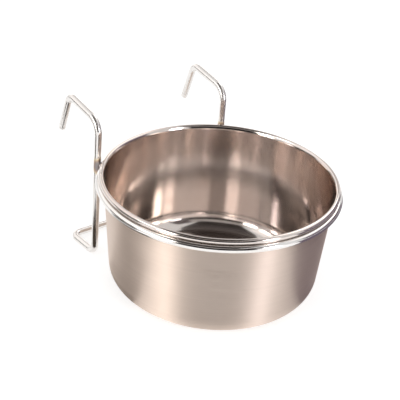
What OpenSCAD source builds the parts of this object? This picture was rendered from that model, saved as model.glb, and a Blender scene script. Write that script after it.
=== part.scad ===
// Hook-on seed cup: a drawn steel bowl that drops into a wire ring, with a wire hanger
// that hooks over a cage bar. Millimetres. The origin is the centre of the bowl's flat
// base, +Z is up, +Y points to the cage and X runs along the crossbar.

/* [Bowl] */
// Outside diameter of the bowl over its rolled rim
rim_d = 123; // [90:1:160]
// Height of the bowl from its base to the top of the rim
bowl_h = 61.5; // [48:0.5:90]
// Radius of the rim's rolled bead
bead_r = 1.5; // [1.3:0.1:2.2]
// Thickness of the bowl's sheet
sheet_t = 0.6; // [0.4:0.05:0.8]
// Slope of the wall from upright, in degrees
wall_taper = 5; // [2:0.5:10]
// Outside radius of the corner between wall and base
corner_r = 12; // [8:0.5:20]
// Gap between the rolled edge's end and the wall
curl_gap = 0.3; // [0.2:0.05:0.4]

/* [Support ring] */
// Diameter of the ring's wire
ring_wire_d = 3.8; // [3:0.1:5]
// Gap from the ring to the bowl's wall and rim
seat_gap = 0.3; // [0.2:0.05:0.5]

/* [Hanger frame] */
// Diameter of the hanger's wire
hanger_wire_d = 3.8; // [3:0.1:5]
// Distance between the two legs
leg_span = 82; // [60:1:100]
// Gap between each leg and the ring, which the weld fills
leg_gap = 0.1; // [0.05:0.05:0.3]
// Distance from the legs back to the crossbar
bar_reach = 22; // [16:0.5:30]
// Gap under the crossbar when the bowl stands on a table
bar_lift = 0.8; // [0.5:0.1:4]
// Radius of the four bends at the foot
foot_bend_r = 5; // [4:0.5:7]

/* [Hooks] */
// Height of the shoulder's corner above the ring
shoulder_rise = 24; // [18:0.5:32]
// Radius of the bend at the shoulder
shoulder_bend_r = 8; // [5:0.5:12]
// Slope of the hook's arm above level, in degrees
arm_slope = 9.5; // [0:0.5:20]
// Distance from the legs back to the hook's peak
hook_reach = 27; // [24:0.5:34]
// Radius of the bend at the peak
peak_bend_r = 4.6; // [3.5:0.1:6]
// Lean of the hook's tip from upright, in degrees
tip_lean = 18; // [5:1:30]
// Length of the hook's tip, from the peak's corner to its end
tip_len = 23.5; // [18:0.5:32]

/* [Welds] */
// Radius of the weld nugget between ring and leg
weld_r = 1.7; // [1.2:0.1:2]

/* [Hidden] */
$fn = 96;

// Length of the tongues that join the straight strips of sheet to the arcs
sheet_tongue = 0.2;
// The wire is this much thicker in its bends, and its straight lengths run this far into them
bend_swell = 0.01;
bend_lap = 0.05;

// Centre of the rim's bead in the bowl's section
bead_x = rim_d / 2 - bead_r;
bead_z = bowl_h - bead_r;
// Part of the bead's circle that the rolled edge leaves open
curl_open = acos(1 - (sheet_t + curl_gap) / bead_r);

// Outside radius of the wall's straight line at height z
function wall_r(z) = bead_x - (bead_r - sheet_t) / cos(wall_taper) - (bead_z - z) * tan(wall_taper);
// Distance that a bend of radius r takes from its corner along each side
function bend_run(r, turn) = r * tan(turn / 2);

// Centre of the corner between wall and base in the bowl's section
corner_x = wall_r(corner_r) - corner_r / cos(wall_taper);

// The ring lies seat_gap from the rim's bead and from the tapered wall
ring_wire_r = ring_wire_d / 2;
seat_reach = bead_r + ring_wire_r + seat_gap;
// Offset of the ring's centre line from the bead's, square to the wall and along it
ring_off_wall = ring_wire_r + seat_gap - (bead_r - sheet_t);
ring_off_down = sqrt(seat_reach * seat_reach - ring_off_wall * ring_off_wall);
ring_r = bead_x + ring_off_wall * cos(wall_taper) - ring_off_down * sin(wall_taper);
ring_z = bead_z - ring_off_wall * sin(wall_taper) - ring_off_down * cos(wall_taper);

// The legs stand just outside the ring
hanger_wire_r = hanger_wire_d / 2;
leg_x = leg_span / 2;
leg_circle_r = ring_r + ring_wire_r + leg_gap + hanger_wire_r;
leg_y = sqrt(leg_circle_r * leg_circle_r - leg_x * leg_x);
bar_z = bar_lift + hanger_wire_r;
shoulder_z = ring_z + shoulder_rise;

// Turns of the hook and the straight lengths between its bends
shoulder_turn = 90 - arm_slope;
peak_turn = 90 + arm_slope - tip_lean;
shoulder_run = bend_run(shoulder_bend_r, shoulder_turn);
peak_run = bend_run(peak_bend_r, peak_turn);
bar_half = leg_x - foot_bend_r;
foot_len = bar_reach - 2 * foot_bend_r;
leg_len = shoulder_z - bar_z - foot_bend_r - shoulder_run;
arm_len = hook_reach / cos(arm_slope) - shoulder_run - peak_run;
tip_straight = tip_len - peak_run;

// Half of the hanger's bending plan from the middle of the crossbar to the hook's tip.
// Each step is a straight length, then the roll, radius and turn of the bend after it.
half_plan = [
    [bar_half, -90, foot_bend_r, 90],
    [foot_len, -90, foot_bend_r, 90],
    [leg_len, 0, shoulder_bend_r, shoulder_turn],
    [arm_len, 0, peak_bend_r, peak_turn],
    [tip_straight, 0, 0, 0]
];

// Circle sector from angle a to angle b, less than a half turn, reaching past radius r
module sector(r, a, b) {
    far = 2 * r;
    mid = (a + b) / 2;
    polygon([
        [0, 0],
        [far * cos(a), far * sin(a)],
        [far * cos(mid), far * sin(mid)],
        [far * cos(b), far * sin(b)]
    ]);
}

// The base turns up into the wall along this arc of sheet
module corner_section() {
    translate([corner_x, corner_r]) intersection() {
        difference() {
            circle(corner_r);
            circle(corner_r - sheet_t);
        }
        sector(corner_r, -90, -wall_taper);
    }
}

// The sheet's edge is rolled outwards into a bead that stops short of the wall
module curl_section() {
    wall_side = 180 - wall_taper;
    translate([bead_x, bead_z]) difference() {
        circle(bead_r);
        circle(bead_r - sheet_t);
        sector(bead_r, wall_side, wall_side + curl_open);
    }
}

// Straight strip of sheet from a to b, measured along its middle, with a pointed tongue at
// each end that runs into the piece of sheet next to it
module strip(a, b, start_tongue, end_tongue) {
    along = (b - a) / norm(b - a);
    half = [-along[1], along[0]] * sheet_t / 2;
    polygon([
        a + half,
        a - along * start_tongue,
        a - half,
        b - half,
        b + along * end_tongue,
        b + half
    ]);
}

module bowl() {
    out = [cos(wall_taper), -sin(wall_taper)];
    mid = sheet_t / 2;
    wall_foot = [corner_x, corner_r] + out * (corner_r - mid);
    wall_top = [bead_x, bead_z] - out * (bead_r - mid);
    color([0.76, 0.71, 0.67]) rotate_extrude() {
        strip([0, mid], [corner_x, mid], 0, sheet_tongue);
        corner_section();
        strip(wall_foot, wall_top, sheet_tongue, sheet_tongue);
        curl_section();
    }
}

module support_ring() {
    color([0.86, 0.84, 0.82]) rotate_extrude()
        translate([ring_r, ring_z])
            circle(ring_wire_r);
}

// Wire that starts at the origin along +Z and turns towards +X about a circle of radius r
module bend(r, turn) {
    translate([r, 0, 0]) rotate([90, 0, 180]) rotate_extrude(angle = turn)
        translate([r, 0])
            circle(hanger_wire_r + bend_swell);
}

// Straight lengths and bends of a bending plan, one after another from step i
module wire_run(plan, i = 0) {
    if (i < len(plan)) {
        straight = plan[i][0];
        roll = plan[i][1];
        r = plan[i][2];
        turn = plan[i][3];
        start_lap = i > 0 ? bend_lap : 0;
        end_lap = turn > 0 ? bend_lap : 0;
        translate([0, 0, -start_lap])
            cylinder(h = start_lap + straight + end_lap, r = hanger_wire_r);
        if (turn > 0) translate([0, 0, straight]) rotate([0, 0, roll]) {
            bend(r, turn);
            translate([r * (1 - cos(turn)), 0, r * sin(turn)]) rotate([0, turn, 0])
                wire_run(plan, i + 1);
        }
    }
}

module hanger_wire() {
    color([0.84, 0.82, 0.80]) for (side = [0, 1])
        mirror([side, 0, 0]) translate([0, leg_y + bar_reach, bar_z]) rotate([0, 90, 0])
            wire_run(half_plan);
}

// Nugget where the ring crosses the leg on the given side
module weld(side) {
    reach = (ring_r + ring_wire_r + leg_gap / 2) / leg_circle_r;
    color([0.62, 0.58, 0.55])
        translate([side * leg_x * reach, leg_y * reach, ring_z])
            sphere(weld_r);
}

module left_weld() { weld(-1); }
module right_weld() { weld(1); }

bowl();
support_ring();
hanger_wire();
left_weld();
right_weld();
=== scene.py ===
"""Looks of a hook-on seed cup: a drawn steel bowl that drops into a wire ring, and a bent
wire hanger that hooks over a cage bar. Metres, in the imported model's frame: +Z is up, +Y
points to the cage, X runs along the crossbar and the origin is the centre of the base."""

import math

import bpy
import numpy as np
from mathutils import Matrix, Vector


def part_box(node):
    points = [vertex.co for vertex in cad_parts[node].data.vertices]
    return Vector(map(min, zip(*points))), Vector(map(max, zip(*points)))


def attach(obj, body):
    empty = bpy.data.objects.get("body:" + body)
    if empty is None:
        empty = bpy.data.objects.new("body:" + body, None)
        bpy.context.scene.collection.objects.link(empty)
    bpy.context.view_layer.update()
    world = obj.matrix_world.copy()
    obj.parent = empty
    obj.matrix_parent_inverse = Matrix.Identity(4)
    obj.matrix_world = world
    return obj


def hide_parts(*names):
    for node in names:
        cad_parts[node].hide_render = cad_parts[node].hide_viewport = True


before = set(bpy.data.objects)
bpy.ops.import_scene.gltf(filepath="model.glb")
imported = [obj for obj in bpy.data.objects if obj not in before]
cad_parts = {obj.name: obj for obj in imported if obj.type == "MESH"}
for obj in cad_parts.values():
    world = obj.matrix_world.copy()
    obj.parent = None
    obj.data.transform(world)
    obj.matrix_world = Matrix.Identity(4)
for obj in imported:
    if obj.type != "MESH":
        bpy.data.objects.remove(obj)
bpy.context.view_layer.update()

# The bowl is one disc of stainless sheet, drawn deep in a press. Its edge is rolled outwards
# into a bead. The outside is brushed round and round on a lathe to a satin finish, and the
# inside and the bead are polished.
bowl_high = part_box("bowl")[1]
bead_radius = 0.0015
sheet_thickness = 0.0006
wall_taper = math.radians(5)
corner_radius = 0.012
curl_gap = 0.0003
flare_drop = 0.0015
bowl_columns = 288
straight_points = 24
corner_points = 30
flare_points = 30
inner_bead_points = 36
edge_points = 7
bead_points = 60


def arc(centre, radius, start, end, count):
    """Points on a circle in the section's plane, from angle start to angle end in degrees:
    centre plus radius times the cosine and sine of each of count even angles."""
    angle = np.radians(np.linspace(start, end, count))
    return np.stack([centre[0] + radius * np.cos(angle), centre[1] + radius * np.sin(angle)], 1)


def straight(start, end, count):
    """Even points between two ends, without the ends: (1 - share) start + share end."""
    share = np.linspace(0, 1, count + 2)[1:-1, None]
    return (1 - share) * np.array(start) + share * np.array(end)


def revolve(profile, columns):
    """Turns a profile of radius and height about the Z axis: each row of the grid is one
    profile point carried round the circle, at (r cos a, r sin a, z)."""
    angle = np.arange(columns) * 2 * np.pi / columns
    radius, height = profile[:, 0, None], profile[:, 1, None]
    return np.stack([radius * np.cos(angle), radius * np.sin(angle), height + 0 * angle], 2)


def skin(name, grid, poles=None, row_marks=None):
    """Smooth closed mesh over a grid of points. Each row is a closed loop and is joined to
    the next row. Two poles close the ends with a fan each; without them the last row joins
    the first. The UV map "finish" is in metres: u runs round a row, as long as the widest
    row is, and v runs from row to row. Row marks are kept on the points as the attribute
    "mark"."""
    rows, columns = grid.shape[:2]
    joined_rows = rows if poles is None else rows - 1
    row, column = np.divmod(np.arange(joined_rows * columns), columns)
    here, there, beside = row * columns, (row + 1) % rows * columns, (column + 1) % columns
    quads = np.stack([here + column, here + beside, there + beside, there + column], 1)
    pitch = np.linalg.norm(np.roll(grid, -1, 1) - grid, axis=2).sum(1).max() / columns
    step = np.linalg.norm(np.roll(grid, -1, 0) - grid, axis=2).mean(1)
    along = np.concatenate([[0], np.cumsum(step)])
    u = np.stack([column, column + 1, column + 1, column], 1) * pitch
    v = np.stack([along[row], along[row], along[row + 1], along[row + 1]], 1)
    points, faces = grid.reshape(-1, 3), quads.tolist()
    uvs = [np.stack([u.ravel(), v.ravel()], 1)]
    if poles is not None:
        spoke = np.arange(columns)
        next_spoke = (spoke + 1) % columns
        start_pole, end_pole = np.full(columns, len(points)), np.full(columns, len(points) + 1)
        last_row, last_v = (rows - 1) * columns, along[rows - 1]
        start_v = -np.linalg.norm(grid[0, 0] - poles[0])
        end_v = last_v + np.linalg.norm(grid[-1, 0] - poles[1])
        fans = [
            ([start_pole, next_spoke, spoke],
             [spoke + 0.5, spoke + 1, spoke], [start_v, 0, 0]),
            ([end_pole, last_row + spoke, last_row + next_spoke],
             [spoke + 0.5, spoke, spoke + 1], [end_v, last_v, last_v]),
        ]
        points = np.concatenate([points, np.array(poles)])
        for fan, fan_u, fan_v in fans:
            faces += np.stack(fan, 1).tolist()
            fan_uv = np.stack([np.stack(fan_u, 1) * pitch, np.tile(fan_v, (columns, 1))], 2)
            uvs.append(fan_uv.reshape(-1, 2))
    mesh = bpy.data.meshes.new(name)
    mesh.from_pydata(points.tolist(), [], faces)
    mesh.uv_layers.new(name="finish").data.foreach_set("uv", np.concatenate(uvs).ravel())
    mesh.polygons.foreach_set("use_smooth", np.ones(len(faces), bool))
    if row_marks is not None:
        marks = np.zeros(len(points))
        marks[:rows * columns] = np.repeat(row_marks, columns)
        mesh.attributes.new("mark", "FLOAT", "POINT").data.foreach_set("value", marks)
    mesh.update()
    piece = bpy.data.objects.new(name, mesh)
    bpy.context.scene.collection.objects.link(piece)
    return piece


def fix(piece, body, slot, *nodes):
    """Fixes a piece to its body and hides the nodes it stands for. The slot is not used."""
    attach(piece, body)
    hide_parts(*nodes)


# In the section's plane, out is square to the wall and up runs along it. The bead, the corner
# and the rolled edge's end are given by their centres.
taper_deg = math.degrees(wall_taper)
out = np.array([math.cos(wall_taper), -math.sin(wall_taper)])
up = np.array([math.sin(wall_taper), math.cos(wall_taper)])
bead = np.array([bowl_high.x - bead_radius, bowl_high.z - bead_radius])
inner_bead = bead_radius - sheet_thickness
wall_top = bead - out * inner_bead
wall_length = (wall_top[1] - corner_radius * (1 + out[1])) / up[1]
corner = wall_top - up * wall_length - out * corner_radius
curl_open = math.degrees(math.acos(1 - (sheet_thickness + curl_gap) / bead_radius))
curl_end = -180 - taper_deg + curl_open
edge_way = np.array([math.cos(math.radians(curl_end)), math.sin(math.radians(curl_end))])
edge = bead + (inner_bead + sheet_thickness / 2) * edge_way

# The sheet turns outwards over the rim in a quarter of an ellipse that is taller than the
# bead, so the rim shows broad from inside.
flare_angle = np.radians(np.linspace(90, 180 - taper_deg, flare_points))[1:]
flare_height = flare_drop + bead_radius
flare = np.stack([bead[0] + bead_radius * np.cos(flare_angle),
                  bead[1] - flare_drop + flare_height * np.sin(flare_angle)], 1)

# The section runs from the middle of the base up the outside, round inside the bead, over
# the rolled edge, back round the bead and down the inside to the middle.
outside_section = np.concatenate([
    straight([0, 0], [corner[0], 0], straight_points),
    arc(corner, corner_radius, -90, -taper_deg, corner_points),
    straight(corner + out * corner_radius, wall_top, straight_points),
])
bead_section = np.concatenate([
    arc(bead, inner_bead, 180 - taper_deg, curl_end, inner_bead_points),
    arc(edge, sheet_thickness / 2, curl_end + 180, curl_end, edge_points)[1:-1],
    arc(bead, bead_radius, curl_end, 90, bead_points),
    flare,
])
inner_corner = corner_radius - sheet_thickness
inside_section = np.concatenate([
    straight(flare[-1], corner + out * inner_corner, straight_points),
    arc(corner, inner_corner, -taper_deg, -90, corner_points),
    straight([corner[0], sheet_thickness], [0, sheet_thickness], straight_points),
])
bowl_section = np.concatenate([outside_section, bead_section, inside_section])
bowl_middle = [[0, 0, 0], [0, 0, sheet_thickness]]
bowl = skin("bowl_shell", revolve(bowl_section, bowl_columns), bowl_middle)
fix(bowl, "bowl", "bowl_steel", "bowl")


def node(material, kind, sockets=None, **settings):
    """Adds a shader node. A socket given another node's output is joined to it, and any
    other socket is given its value."""
    made = material.node_tree.nodes.new("ShaderNode" + kind)
    for name, value in settings.items():
        setattr(made, name, value)
    for name, value in (sockets or {}).items():
        if isinstance(value, bpy.types.NodeSocket):
            material.node_tree.links.new(value, made.inputs[name])
        else:
            made.inputs[name].default_value = value
    return made


def metal(name, anisotropy):
    """New metal whose reflections are drawn out across the lines of its finish, which run
    along u. Gives the material and its shader."""
    material = bpy.data.materials.new(name)
    material.use_nodes = True
    shader = material.node_tree.nodes["Principled BSDF"]
    shader.inputs["Metallic"].default_value = 1
    shader.inputs["Anisotropic"].default_value = anisotropy
    shader.inputs["Anisotropic Rotation"].default_value = 0.25
    lines_way = node(material, "Tangent", direction_type="UV_MAP", uv_map="finish")
    material.node_tree.links.new(lines_way.outputs["Tangent"], shader.inputs["Tangent"])
    return material, shader


def noise(material, point, scale, detail=3.0):
    """Noise that changes scale times in a metre, along each axis if scale has three parts."""
    if not isinstance(scale, tuple):
        scale = (scale, scale, scale)
    place = node(material, "VectorMath", {0: point, 1: scale}, operation="MULTIPLY")
    sockets = {"Vector": place.outputs[0], "Scale": 1.0, "Detail": detail}
    return node(material, "TexNoise", sockets).outputs["Fac"]


def between(material, value, low, high, start=0.3, end=0.7):
    """Carries a value from its range start to end over to low to high, and stops it there.
    Noise lies mostly between 0.3 and 0.7."""
    sockets = {"Value": value, "From Min": start, "From Max": end, "To Min": low, "To Max": high}
    return node(material, "MapRange", sockets).outputs["Result"]


def blend(material, share, first, second):
    """Colour that goes from the first to the second as the share goes from 0 to 1."""
    return node(material, "MixRGB", {"Fac": share, "Color1": first, "Color2": second}).outputs[0]


def calc(material, operation, first, second):
    """One sum on two values."""
    return node(material, "Math", {0: first, 1: second}, operation=operation).outputs[0]


def relief(material, height, depth, under=None):
    """Bump of a height from 0 to 1 times a depth in metres, on top of the one under it."""
    sockets = {"Height": height, "Distance": depth, "Strength": 1.0}
    if under is not None:
        sockets["Normal"] = under
    return node(material, "Bump", sockets).outputs["Normal"]


def dress(material, shader, colour, roughness, normal):
    """Joins the colour, roughness and relief to the shader."""
    links = material.node_tree.links
    links.new(colour, shader.inputs["Base Color"])
    links.new(roughness, shader.inputs["Roughness"])
    links.new(normal, shader.inputs["Normal"])


def finish_map(material):
    """The piece's own UV map, in metres."""
    return node(material, "UVMap", uv_map="finish").outputs["UV"]


def turned_point(material):
    """Gives the Object coordinates, their three parts, and a point for lines that run round
    the bowl: x and y, which close round it, and the UV's v, which runs along the section."""
    place = node(material, "TexCoord").outputs["Object"]
    parts = node(material, "SeparateXYZ", {"Vector": place}).outputs
    v = node(material, "SeparateXYZ", {"Vector": finish_map(material)}).outputs["Y"]
    turned = node(material, "CombineXYZ", {"X": parts["X"], "Y": parts["Y"], "Z": v}).outputs[0]
    return place, parts, turned


# Satin outside: hair lines round the wall, broader strokes that catch the light unevenly, a
# scuffed foot where the bowl stands, and a line rubbed bright where the ring holds it.
satin_dark = (0.70, 0.59, 0.515, 1)
satin_light = (0.76, 0.65, 0.575, 1)
scuffed_grey = (0.47, 0.42, 0.385, 1)
rubbed_light = (0.84, 0.78, 0.73, 1)
stroke_share = 0.6
foot_start = 0.0001
foot_end = 0.0016
ring_below_bead = 0.0036
rub_half_width = 0.0002
rub_half_reach = 0.0007
rub_strength = 0.7
rub_polish = 0.25
hair_depth = 0.0000012
stroke_depth = 0.000003
satin_steel, shader = metal("satin_steel", 0.9)
place, parts, turned = turned_point(satin_steel)
hair = noise(satin_steel, turned, (60, 60, 7000))
strokes = noise(satin_steel, turned, (14, 14, 700), 5)
clouds = noise(satin_steel, place, 40)
scuffs = noise(satin_steel, place, (900, 900, 2500), 6)
near_foot = between(satin_steel, parts["Z"], 1, 0, foot_start, foot_end)
foot = calc(satin_steel, "MULTIPLY", near_foot, between(satin_steel, scuffs, 0, 1, 0.45, 0.6))
rub_offset = calc(satin_steel, "SUBTRACT", parts["Z"], bead[1] - ring_below_bead)
rub_distance = calc(satin_steel, "ABSOLUTE", rub_offset, 0)
rub = between(satin_steel, rub_distance, rub_strength, 0, rub_half_width, rub_half_reach)
stroke_tone = calc(satin_steel, "MULTIPLY", strokes, stroke_share)
cloud_tone = calc(satin_steel, "MULTIPLY", clouds, 1 - stroke_share)
tone = between(satin_steel, calc(satin_steel, "ADD", stroke_tone, cloud_tone), 0, 1, 0.35, 0.65)
colour = blend(satin_steel, tone, satin_dark, satin_light)
colour = blend(satin_steel, foot, colour, scuffed_grey)
colour = blend(satin_steel, rub, colour, rubbed_light)
stroke_roughness = between(satin_steel, strokes, 0.50, 0.59)
roughness = calc(satin_steel, "ADD", stroke_roughness, between(satin_steel, hair, -0.03, 0.03))
rub_gloss = calc(satin_steel, "MULTIPLY", rub, rub_polish)
roughness = calc(satin_steel, "SUBTRACT", roughness, rub_gloss)
hair_relief = relief(satin_steel, hair, hair_depth)
normal = relief(satin_steel, strokes, stroke_depth, hair_relief)
dress(satin_steel, shader, colour, roughness, normal)

# Polished inside and bead: faint turning lines, the slight waviness that drawing leaves in
# sheet, and a few fine slanting scratches from seed and washing up.
polished_dark = (0.715, 0.645, 0.605, 1)
polished_light = (0.765, 0.71, 0.675, 1)
scratched_light = (0.85, 0.80, 0.76, 1)
scratch_slant = 0.5
scratch_lightness = 0.35
scratch_dulling = 0.12
wave_depth = 0.00006
line_depth = 0.0000004
polished_steel, shader = metal("polished_steel", 0.7)
place, parts, turned = turned_point(polished_steel)
lines = noise(polished_steel, turned, (30, 30, 5000))
waves = noise(polished_steel, place, (55, 55, 90), 1)
clouds = noise(polished_steel, place, 45)
slant = {"Vector": finish_map(polished_steel), "Rotation": (0, 0, scratch_slant)}
slanted = node(polished_steel, "Mapping", slant).outputs[0]
streaks = noise(polished_steel, slanted, (60, 3800, 1), 2)
scratches = between(polished_steel, streaks, 0, 1, 0.70, 0.74)
colour = blend(polished_steel, between(polished_steel, clouds, 0, 1), polished_dark, polished_light)
scratch_share = calc(polished_steel, "MULTIPLY", scratches, scratch_lightness)
colour = blend(polished_steel, scratch_share, colour, scratched_light)
cloud_roughness = between(polished_steel, clouds, 0.10, 0.14)
roughness = calc(polished_steel, "ADD", cloud_roughness, between(polished_steel, lines, 0, 0.03))
scratch_roughness = calc(polished_steel, "MULTIPLY", scratches, scratch_dulling)
roughness = calc(polished_steel, "ADD", roughness, scratch_roughness)
wave_relief = relief(polished_steel, waves, wave_depth)
normal = relief(polished_steel, lines, line_depth, wave_relief)
dress(polished_steel, shader, colour, roughness, normal)

# The satin ends at the top of the outside wall. The fan under the base is satin too, and the
# fan inside is polished.
bowl.data.materials.append(satin_steel)
bowl.data.materials.append(polished_steel)
face_row = np.repeat(np.arange(len(bowl_section) - 1), bowl_columns)
row_is_polished = (face_row >= len(outside_section) - 1).astype(int)
fan_is_polished = np.repeat([0, 1], bowl_columns)
face_material = np.concatenate([row_is_polished, fan_is_polished])
bowl.data.polygons.foreach_set("material_index", face_material)

# The support ring is a length of bright drawn steel wire, rolled to a circle and butt welded
# at the back, where the joint leaves a slight swell. The bowl's bead rests on it all round.
ring_low, ring_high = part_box("support_ring")
ring_wire_radius = (ring_high.z - ring_low.z) / 2
ring_radius = ring_high.x - ring_wire_radius
ring_height = ring_low.z + ring_wire_radius
joint_swell = 0.00012
joint_half = 0.0016
ring_heat_reach = 0.0065


def wire_ring(steps_round, steps_section):
    """Torus whose wire swells at the joint: the wire's radius is the plain radius plus swell
    times exp(-(distance from the joint / half width) squared). One angle goes round the ring
    and the other round the wire."""
    round_ring = (np.arange(steps_round) * 2 * np.pi / steps_round)[None, :]
    round_wire = (np.arange(steps_section) * 2 * np.pi / steps_section)[:, None]
    from_joint = (round_ring - np.pi / 2) * ring_radius
    wire = ring_wire_radius + joint_swell * np.exp(-(from_joint / joint_half) ** 2)
    reach = ring_radius + wire * np.cos(round_wire)
    height = ring_height + wire * np.sin(round_wire)
    return np.stack([reach * np.cos(round_ring), reach * np.sin(round_ring), height], 2)


ring = skin("ring_wire_loop", wire_ring(steps_round=576, steps_section=48))
fix(ring, "holder", "ring_wire", "support_ring")

wire_dark = (0.80, 0.775, 0.75, 1)
wire_light = (0.87, 0.85, 0.83, 1)
heat_colours = [(0.35, (0.90, 0.78, 0.58, 1)), (0.7, (0.58, 0.45, 0.38, 1))]
heat_middle = (0.42, 0.40, 0.42, 1)
heat_core_share = 0.45
heat_ragged = 0.0006
heat_dulling = 0.22
skid_grey = (0.66, 0.63, 0.60, 1)
skid_greying = 0.35
skid_dulling = 0.16
wire_line_depth = 0.0000008
dent_depth = 0.000012


def drawn_wire(name, lines_scale, polish, joint_place, joint_reach, is_bent):
    """Bright drawn wire of a lowest roughness of polish: fine lines along it from the die,
    small changes of polish, dull marks where it was bent, and a heat tint round its
    joints, the same on both sides. The tint goes from straw over brown to grey."""
    material, shader = metal(name, 0.0)
    place = node(material, "TexCoord").outputs["Object"]
    lines = noise(material, finish_map(material), lines_scale)
    dents = noise(material, place, 260, 2)
    clouds = noise(material, place, 70)
    parts = node(material, "SeparateXYZ", {"Vector": place}).outputs
    side_x = calc(material, "ABSOLUTE", parts["X"], 0)
    one_side = {"X": side_x, "Y": parts["Y"], "Z": parts["Z"]}
    to_joint = {0: node(material, "CombineXYZ", one_side).outputs[0], 1: joint_place}
    away = node(material, "VectorMath", to_joint, operation="DISTANCE").outputs["Value"]
    raggedness = between(material, dents, -heat_ragged, heat_ragged)
    ragged = calc(material, "ADD", away, raggedness)
    heat = between(material, ragged, 1, 0, joint_reach * heat_core_share, joint_reach)
    tint = node(material, "ValToRGB", {"Fac": heat})
    tint.color_ramp.elements[0].color = (1, 1, 1, 1)
    tint.color_ramp.elements[1].color = heat_middle
    for share, heat_colour in heat_colours:
        tint.color_ramp.elements.new(share).color = heat_colour
    colour = blend(material, between(material, clouds, 0, 1), wire_dark, wire_light)
    tinted = {"Fac": 1.0, "Color1": colour, "Color2": tint.outputs["Color"]}
    colour = node(material, "MixRGB", tinted, blend_type="MULTIPLY").outputs[0]
    cloud_roughness = between(material, clouds, polish, polish + 0.05)
    roughness = calc(material, "ADD", cloud_roughness, between(material, lines, -0.01, 0.03))
    roughness = calc(material, "ADD", roughness, calc(material, "MULTIPLY", heat, heat_dulling))
    normal = relief(material, lines, wire_line_depth, relief(material, dents, dent_depth))
    if is_bent:
        bent = node(material, "Attribute", attribute_name="mark").outputs["Fac"]
        grip = between(material, noise(material, place, 700, 4), 0, 1, 0.45, 0.62)
        skid = calc(material, "MULTIPLY", bent, grip)
        roughness = calc(material, "ADD", roughness, calc(material, "MULTIPLY", skid, skid_dulling))
        colour = blend(material, calc(material, "MULTIPLY", skid, skid_greying), colour, skid_grey)
    dress(material, shader, colour, roughness, normal)
    return material


ring_joint = (0.0, ring_radius, ring_height)
ring.data.materials.append(drawn_wire(
    "ring_wire_steel", (45, 5200, 1), 0.08, ring_joint, ring_heat_reach, is_bent=False))

# The hanger is one length of the same wire. It starts in one hook's tip, runs over the hook,
# down the leg, out to the crossbar and back up the other side in mirror image. The cut ends
# are rounded over in a barrel of stones.
hanger_low, hanger_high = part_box("hanger_wire")
wire_radius = 0.0019
leg_x = hanger_high.x - wire_radius
leg_y = hanger_low.y + wire_radius
bar_reach = 0.022
bar_z = hanger_low.z + wire_radius
shoulder_z = 0.080436
hook_reach = 0.027
arm_slope = math.radians(9.5)
tip_lean = math.radians(18)
tip_length = 0.0235
foot_bend = 0.005
shoulder_bend = 0.008
peak_bend = 0.0046
bend_step = math.radians(2.5)
end_round = 0.0009
end_points = 8
hanger_columns = 40
weld_heat_reach = 0.0060


def bent_wire(corners, radii, step):
    """Middle line of a bent wire: straight between corners, with a circular arc of the given
    radius at each corner that touches both sides. Gives the points, the wire's direction at
    each, and a mark that rises to 1 in the middle of each bend."""
    corners = np.array(corners, float)
    side = np.diff(corners, axis=0)
    way = side / np.linalg.norm(side, axis=1)[:, None]
    points, ways, marks = [corners[:1]], [way[:1]], [[0]]
    for before, after, turning_point, radius in zip(way, way[1:], corners[1:], radii):
        turn = math.acos(before @ after)
        start = turning_point - before * radius * math.tan(turn / 2)
        inward = after - before * (before @ after)
        inward /= np.linalg.norm(inward)
        angle = np.linspace(0, turn, max(int(turn / step), 2))[:, None]
        points.append(start + radius * (np.sin(angle) * before + (1 - np.cos(angle)) * inward))
        ways.append(np.cos(angle) * before + np.sin(angle) * inward)
        marks.append(np.sin(np.pi * angle[:, 0] / turn) ** 0.5)
    points.append(corners[-1:])
    ways.append(way[-1:])
    return np.concatenate(points), np.concatenate(ways), np.concatenate(marks + [[0]])


def sweep(points, ways, radii, columns):
    """Round wire along a middle line: at each point a circle of that radius, square to the
    wire. Its first axis is the direction crossed with (1, 1, 1), which the wire never follows."""
    across = np.cross(ways, [1.0, 1.0, 1.0])
    across /= np.linalg.norm(across, axis=1)[:, None]
    other = np.cross(ways, across)
    angle = (np.arange(columns) * 2 * np.pi / columns)[None, :, None]
    circle = np.cos(angle) * across[:, None] + np.sin(angle) * other[:, None]
    return points[:, None] + radii[:, None, None] * circle


peak_y = leg_y + hook_reach
peak_z = shoulder_z + hook_reach * math.tan(arm_slope)
left_corners = [
    [-leg_x, peak_y + tip_length * math.sin(tip_lean), peak_z - tip_length * math.cos(tip_lean)],
    [-leg_x, peak_y, peak_z],
    [-leg_x, leg_y, shoulder_z],
    [-leg_x, leg_y, bar_z],
    [-leg_x, leg_y + bar_reach, bar_z],
]
right_corners = [[-x, y, z] for x, y, z in left_corners[::-1]]
left_bends = [peak_bend, shoulder_bend, foot_bend, foot_bend]
wire_points, wire_ways, wire_marks = bent_wire(
    left_corners + right_corners, left_bends + left_bends[::-1], bend_step)

# A cut end is flat in the middle and turns into the wire along a quarter circle. It is
# dulled like the bends.
turn = np.radians(np.linspace(0, 90, end_points))
end_radius = wire_radius - end_round * (1 - np.sin(turn))
end_depth = end_round * (1 - np.cos(turn))
start_rows = wire_points[0] + wire_ways[0] * end_depth[:, None]
end_rows = wire_points[-1] - wire_ways[-1] * end_depth[::-1, None]
start_ways = np.repeat(wire_ways[:1], end_points, 0)
end_ways = np.repeat(wire_ways[-1:], end_points, 0)
plain_radius = np.full(len(wire_points) - 2, wire_radius)
hanger_grid = sweep(
    np.concatenate([start_rows, wire_points[1:-1], end_rows]),
    np.concatenate([start_ways, wire_ways[1:-1], end_ways]),
    np.concatenate([end_radius, plain_radius, end_radius[::-1]]),
    hanger_columns)
end_marks = np.ones(end_points)
hanger_marks = np.concatenate([end_marks, wire_marks[1:-1], end_marks])
hanger = skin("hanger_bent_wire", hanger_grid, [wire_points[0], wire_points[-1]], hanger_marks)
fix(hanger, "holder", "hanger_steel", "hanger_wire")

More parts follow.
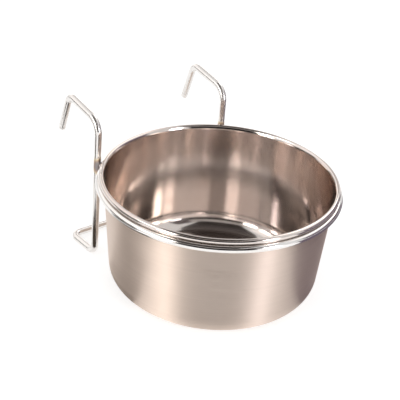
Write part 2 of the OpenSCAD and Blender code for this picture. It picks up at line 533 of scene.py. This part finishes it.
weld_low, weld_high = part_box("right_weld")
weld_place = tuple((np.array(weld_low) + np.array(weld_high)) / 2)
hanger.data.materials.append(drawn_wire(
    "hanger_wire_steel", (5200, 45, 1), 0.20, weld_place, weld_heat_reach, is_bent=True))

# Each leg is spot welded to the ring where they cross. The wires are squeezed together hot,
# and a little metal swells out round the joint and keeps a brown heat tint.
nugget_columns = 48
nugget_rows = 24
last_latitude = 87
broad_lump = 0.07
fine_lump = 0.05
weld_brown = (0.50, 0.40, 0.33, 1)
weld_blue = (0.33, 0.32, 0.36, 1)
blotch_depth = 0.0001
ripple_depth = 0.00004


def weld_nugget(centre, radius):
    """Lumpy ball: its radius is the plain one times 1 + (broad lump times
    sin(3 longitude + 1) + fine lump times sin(5 latitude + 2 longitude)) cos latitude."""
    longitude = (np.arange(nugget_columns) * 2 * np.pi / nugget_columns)[None, :]
    latitude = np.radians(np.linspace(-last_latitude, last_latitude, nugget_rows))[:, None]
    broad = broad_lump * np.sin(3 * longitude + 1)
    fine = fine_lump * np.sin(5 * latitude + 2 * longitude)
    reach = radius * (1 + (broad + fine) * np.cos(latitude))
    level = reach * np.cos(latitude)
    ball = [level * np.cos(longitude), level * np.sin(longitude), reach * np.sin(latitude)]
    return np.array(centre) + np.stack(ball, 2)


weld_metal, shader = metal("weld_metal", 0.0)
place = node(weld_metal, "TexCoord").outputs["Object"]
blotches = noise(weld_metal, place, 900)
ripples = noise(weld_metal, place, 2600, 2)
colour = blend(weld_metal, between(weld_metal, blotches, 0, 1), weld_brown, weld_blue)
roughness = between(weld_metal, ripples, 0.25, 0.50)
blotch_relief = relief(weld_metal, blotches, blotch_depth)
dress(weld_metal, shader, colour, roughness, relief(weld_metal, ripples, ripple_depth, blotch_relief))
for side in ("left", "right"):
    low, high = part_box(side + "_weld")
    middle = (np.array(low) + np.array(high)) / 2
    radius = (high.z - low.z) / 2
    nugget_poles = [middle - [0, 0, radius], middle + [0, 0, radius]]
    nugget = skin(side + "_weld_nugget", weld_nugget(middle, radius), nugget_poles)
    fix(nugget, "holder", "weld_metal", side + "_weld")
    nugget.data.materials.append(weld_metal)

# The camera looks down into the cup from its front left, at the photograph's angle and with
# the same slight roll.
camera_place = Vector((-0.35248, -0.40315, 0.35056))
camera_aim = Vector((-0.00709, 0.00599, 0.04715))
camera_roll = math.radians(4.63)
camera_data = bpy.data.cameras.new("camera")
camera_data.lens = 108
camera_data.sensor_width = 36
camera_data.clip_start = 0.01
camera = bpy.data.objects.new("camera", camera_data)
bpy.context.scene.collection.objects.link(camera)
camera_way = (camera_aim - camera_place).to_track_quat("-Z", "Y").to_matrix()
camera_turn = camera_way @ Matrix.Rotation(camera_roll, 3, "Z")
camera.matrix_world = Matrix.Translation(camera_place) @ camera_turn.to_4x4()
bpy.context.scene.camera = camera

# The cup stands on a white floor in a light tent. Polished steel shows what stands round it:
# dark cards draw its dark lines, white panels draw its white rim, and soft lamps low at the
# sides draw the two bright bands on the satin wall.
floor_half = 3.0
floor_light = 0.66
floor_grey = 0.5
to_camera = Vector((camera_place.x, camera_place.y, 0)).normalized()
to_right = Vector((-to_camera.y, to_camera.x, 0))


def around(angle_deg, distance, height):
    """Point at a distance from the cup's axis, turned from the camera's side to its right."""
    angle = math.radians(angle_deg)
    level = to_camera * math.cos(angle) + to_right * math.sin(angle)
    return level * distance + Vector((0, 0, height))


def stage_piece(name, corners, faces, material, seen=False):
    """Piece of the studio. Unless it is seen, only reflections show it, and it casts no
    shadow and lights no matt surface."""
    mesh = bpy.data.meshes.new(name)
    mesh.from_pydata([tuple(point) for point in corners], [], faces)
    mesh.materials.append(material)
    piece = bpy.data.objects.new(name, mesh)
    bpy.context.scene.collection.objects.link(piece)
    piece.visible_camera = seen
    piece.visible_diffuse = seen
    piece.visible_shadow = seen


def glow(name, colour):
    """Material of one even brightness, whatever light falls on it."""
    material = bpy.data.materials.new(name)
    material.use_nodes = True
    material.node_tree.nodes.remove(material.node_tree.nodes["Principled BSDF"])
    emission = node(material, "Emission", {"Color": (*colour, 1)})
    output = material.node_tree.nodes["Material Output"]
    material.node_tree.links.new(emission.outputs[0], output.inputs["Surface"])
    return material


def seen_directly(material):
    """One where a camera, glossy or transmission ray meets the surface, and zero elsewhere."""
    path = node(material, "LightPath").outputs
    glossy_too = calc(material, "MAXIMUM", path["Is Camera Ray"], path["Is Glossy Ray"])
    return calc(material, "MAXIMUM", glossy_too, path["Is Transmission Ray"])


# The floor is matt grey paint, which takes the cup's shadow, with a light of its own that
# lifts it to white where it is seen directly.
floor_paint = glow("floor_paint", (floor_light, floor_light, floor_light))
lift = floor_paint.node_tree.nodes["Emission"]
floor_paint.node_tree.links.new(seen_directly(floor_paint), lift.inputs["Strength"])
paint = node(floor_paint, "BsdfDiffuse", {"Color": (floor_grey, floor_grey, floor_grey, 1)})
both = node(floor_paint, "AddShader", {0: paint.outputs[0], 1: lift.outputs[0]})
output = floor_paint.node_tree.nodes["Material Output"]
floor_paint.node_tree.links.new(both.outputs[0], output.inputs["Surface"])
floor_corners = [(-floor_half, -floor_half, 0), (floor_half, -floor_half, 0),
                 (floor_half, floor_half, 0), (-floor_half, floor_half, 0)]
stage_piece("floor", floor_corners, [(0, 1, 2, 3)], floor_paint, seen=True)

# The card overhead is nearly black over the camera and dark grey behind the cup. Its outline
# is given in metres to the right of the cup and towards the camera. Its shades run from the
# camera's side of the cup to a place behind the cup, past the card's end.
top_height = 1.2
top_outline = [(0.42, 0.9), (0.42, 0.0), (0.25, -0.45), (-0.35, -0.45), (-0.55, 0.0), (-0.60, 0.9)]
shade_start = -0.6
shade_end = 2.1
top_card = glow("top_card", (1, 1, 1))
card_place = node(top_card, "TexCoord").outputs["Object"]
backwards = {0: card_place, 1: tuple(-to_camera)}
behind = node(top_card, "VectorMath", backwards, operation="DOT_PRODUCT").outputs["Value"]
behind_share = between(top_card, behind, 0, 1, shade_start, shade_end)
shade = node(top_card, "ValToRGB", {"Fac": behind_share})
shade.color_ramp.elements[0].color = (0.030, 0.025, 0.024, 1)
shade.color_ramp.elements[1].color = (0.24, 0.22, 0.21, 1)
shade.color_ramp.elements.new(0.25).color = (0.10, 0.088, 0.084, 1)
card_light = top_card.node_tree.nodes["Emission"]
top_card.node_tree.links.new(shade.outputs["Color"], card_light.inputs["Color"])
top_corners = [to_right * right + to_camera * front + Vector((0, 0, top_height))
               for right, front in top_outline]
stage_piece("top_card", top_corners, [tuple(range(len(top_corners)))], top_card)

card_points = 20
mat_height = 0.0004


def curved_card(name, angles, reach, heights, material):
    """Card that curves round the cup between two angles, and goes from the first distance
    and height to the second."""
    corners = [around(angle, distance, height) for distance, height in zip(reach, heights)
               for angle in np.linspace(*angles, card_points)]
    faces = [(k, k + 1, k + 1 + card_points, k + card_points) for k in range(card_points - 1)]
    stage_piece(name, corners, faces, material)


def upright_card(name, angles, distance, heights, material):
    """Card that stands at one distance from the cup, from the first height to the second."""
    curved_card(name, angles, (distance, distance), heights, material)


def floor_mat(name, angles, reach, material):
    """Card that lies just above the floor, from the first distance to the second."""
    curved_card(name, angles, reach, (mat_height, mat_height), material)


front_black = glow("front_black", (0.012, 0.010, 0.010))
upright_card("front_card", (-40, 36), 1.2, (0, 0.97), front_black)
front_grey = glow("front_grey", (0.45, 0.42, 0.40))
upright_card("front_strip", (-40, 36), 1.2, (0.97, 1.6), front_grey)
lamp_white = glow("lamp_white", (4.2, 4.0, 3.85))
upright_card("left_panel", (-58, -80), 1.9, (1.1, 1.65), lamp_white)
back_white = glow("back_white", (2.6, 2.5, 2.45))
upright_card("right_back_panel", (138, 164), 1.9, (1.0, 3.0), back_white)
right_dark = glow("right_dark", (0.12, 0.10, 0.10))
upright_card("front_right_card", (36, 60), 1.3, (0.69, 1.9), right_dark)
back_grey = glow("back_grey", (0.55, 0.51, 0.495))
upright_card("back_card", (162, 200), 2.1, (0.76, 2.3), back_grey)
low_white = glow("low_white", (1.6, 1.55, 1.5))
upright_card("back_strip", (165, 212), 2.1, (0, 0.76), low_white)
side_white = glow("side_white", (1.18, 1.14, 1.12))
upright_card("left_wall", (-54, -160), 2.0, (0.52, 3.0), side_white)
upright_card("right_wall", (90, 160), 2.0, (1.0, 3.0), side_white)
left_brown = glow("left_brown", (0.045, 0.032, 0.022))
# The left mat by the cup is painted shadow: a dark sheet, seen only in reflections, that stands for
# the cup's own shadow on the floor at its side.
floor_mat("left_shadow_mat", (-50, -93), (0.050, 0.105), left_brown)
floor_mat("left_far_mat", (-62, -90), (0.145, 0.6), left_brown)
upright_card("left_card", (-70, -104), 2.0, (0, 0.5), left_brown)
right_plum = glow("right_plum", (0.17, 0.135, 0.170))
# The right mat is partly painted shadow: by the cup it stands for the cup's own shadow on the floor,
# and farther out it is a dark floor. It is seen only in reflections.
floor_mat("right_shadow_and_dark_floor_mat", (67, 140), (0.056, 0.6), right_plum)
upright_card("right_card", (82, 142), 2.0, (0, 1.1), right_plum)

# The tent itself gives an even light and looks white to the camera.
tent_light = 0.81
world = bpy.data.worlds.new("tent")
bpy.context.scene.world = world
world.use_nodes = True
tent = world.node_tree.nodes["Background"].inputs
tent["Color"].default_value = (1, 1, 1, 1)
camera_ray = node(world, "LightPath").outputs["Is Camera Ray"]
world.node_tree.links.new(between(world, camera_ray, tent_light, 1, 0, 1), tent["Strength"])

lamp_aim = Vector((0, 0, 0.03))


def soft_lamp(name, place, width, height, watts, colour):
    """Large soft lamp that faces the middle of the cup."""
    lamp = bpy.data.lights.new(name, "AREA")
    lamp.shape = "RECTANGLE"
    lamp.size = width
    lamp.size_y = height
    lamp.energy = watts
    lamp.color = colour
    piece = bpy.data.objects.new(name, lamp)
    way = (lamp_aim - place).to_track_quat("-Z", "Y").to_matrix()
    piece.matrix_world = Matrix.Translation(place) @ way.to_4x4()
    bpy.context.scene.collection.objects.link(piece)


soft_lamp("left_lamp", around(-43, 1.0, 0.36), 0.28, 0.7, 3.6, (1.0, 0.96, 0.91))
soft_lamp("right_lamp", around(50, 1.0, 0.30), 0.22, 0.6, 2.7, (0.98, 0.96, 1.0))
bpy.context.scene.view_settings.view_transform = "Standard"
# Light crosses the polished bowl more than the usual four times before it leaves at the sides.
bpy.context.scene.cycles.glossy_bounces = 10
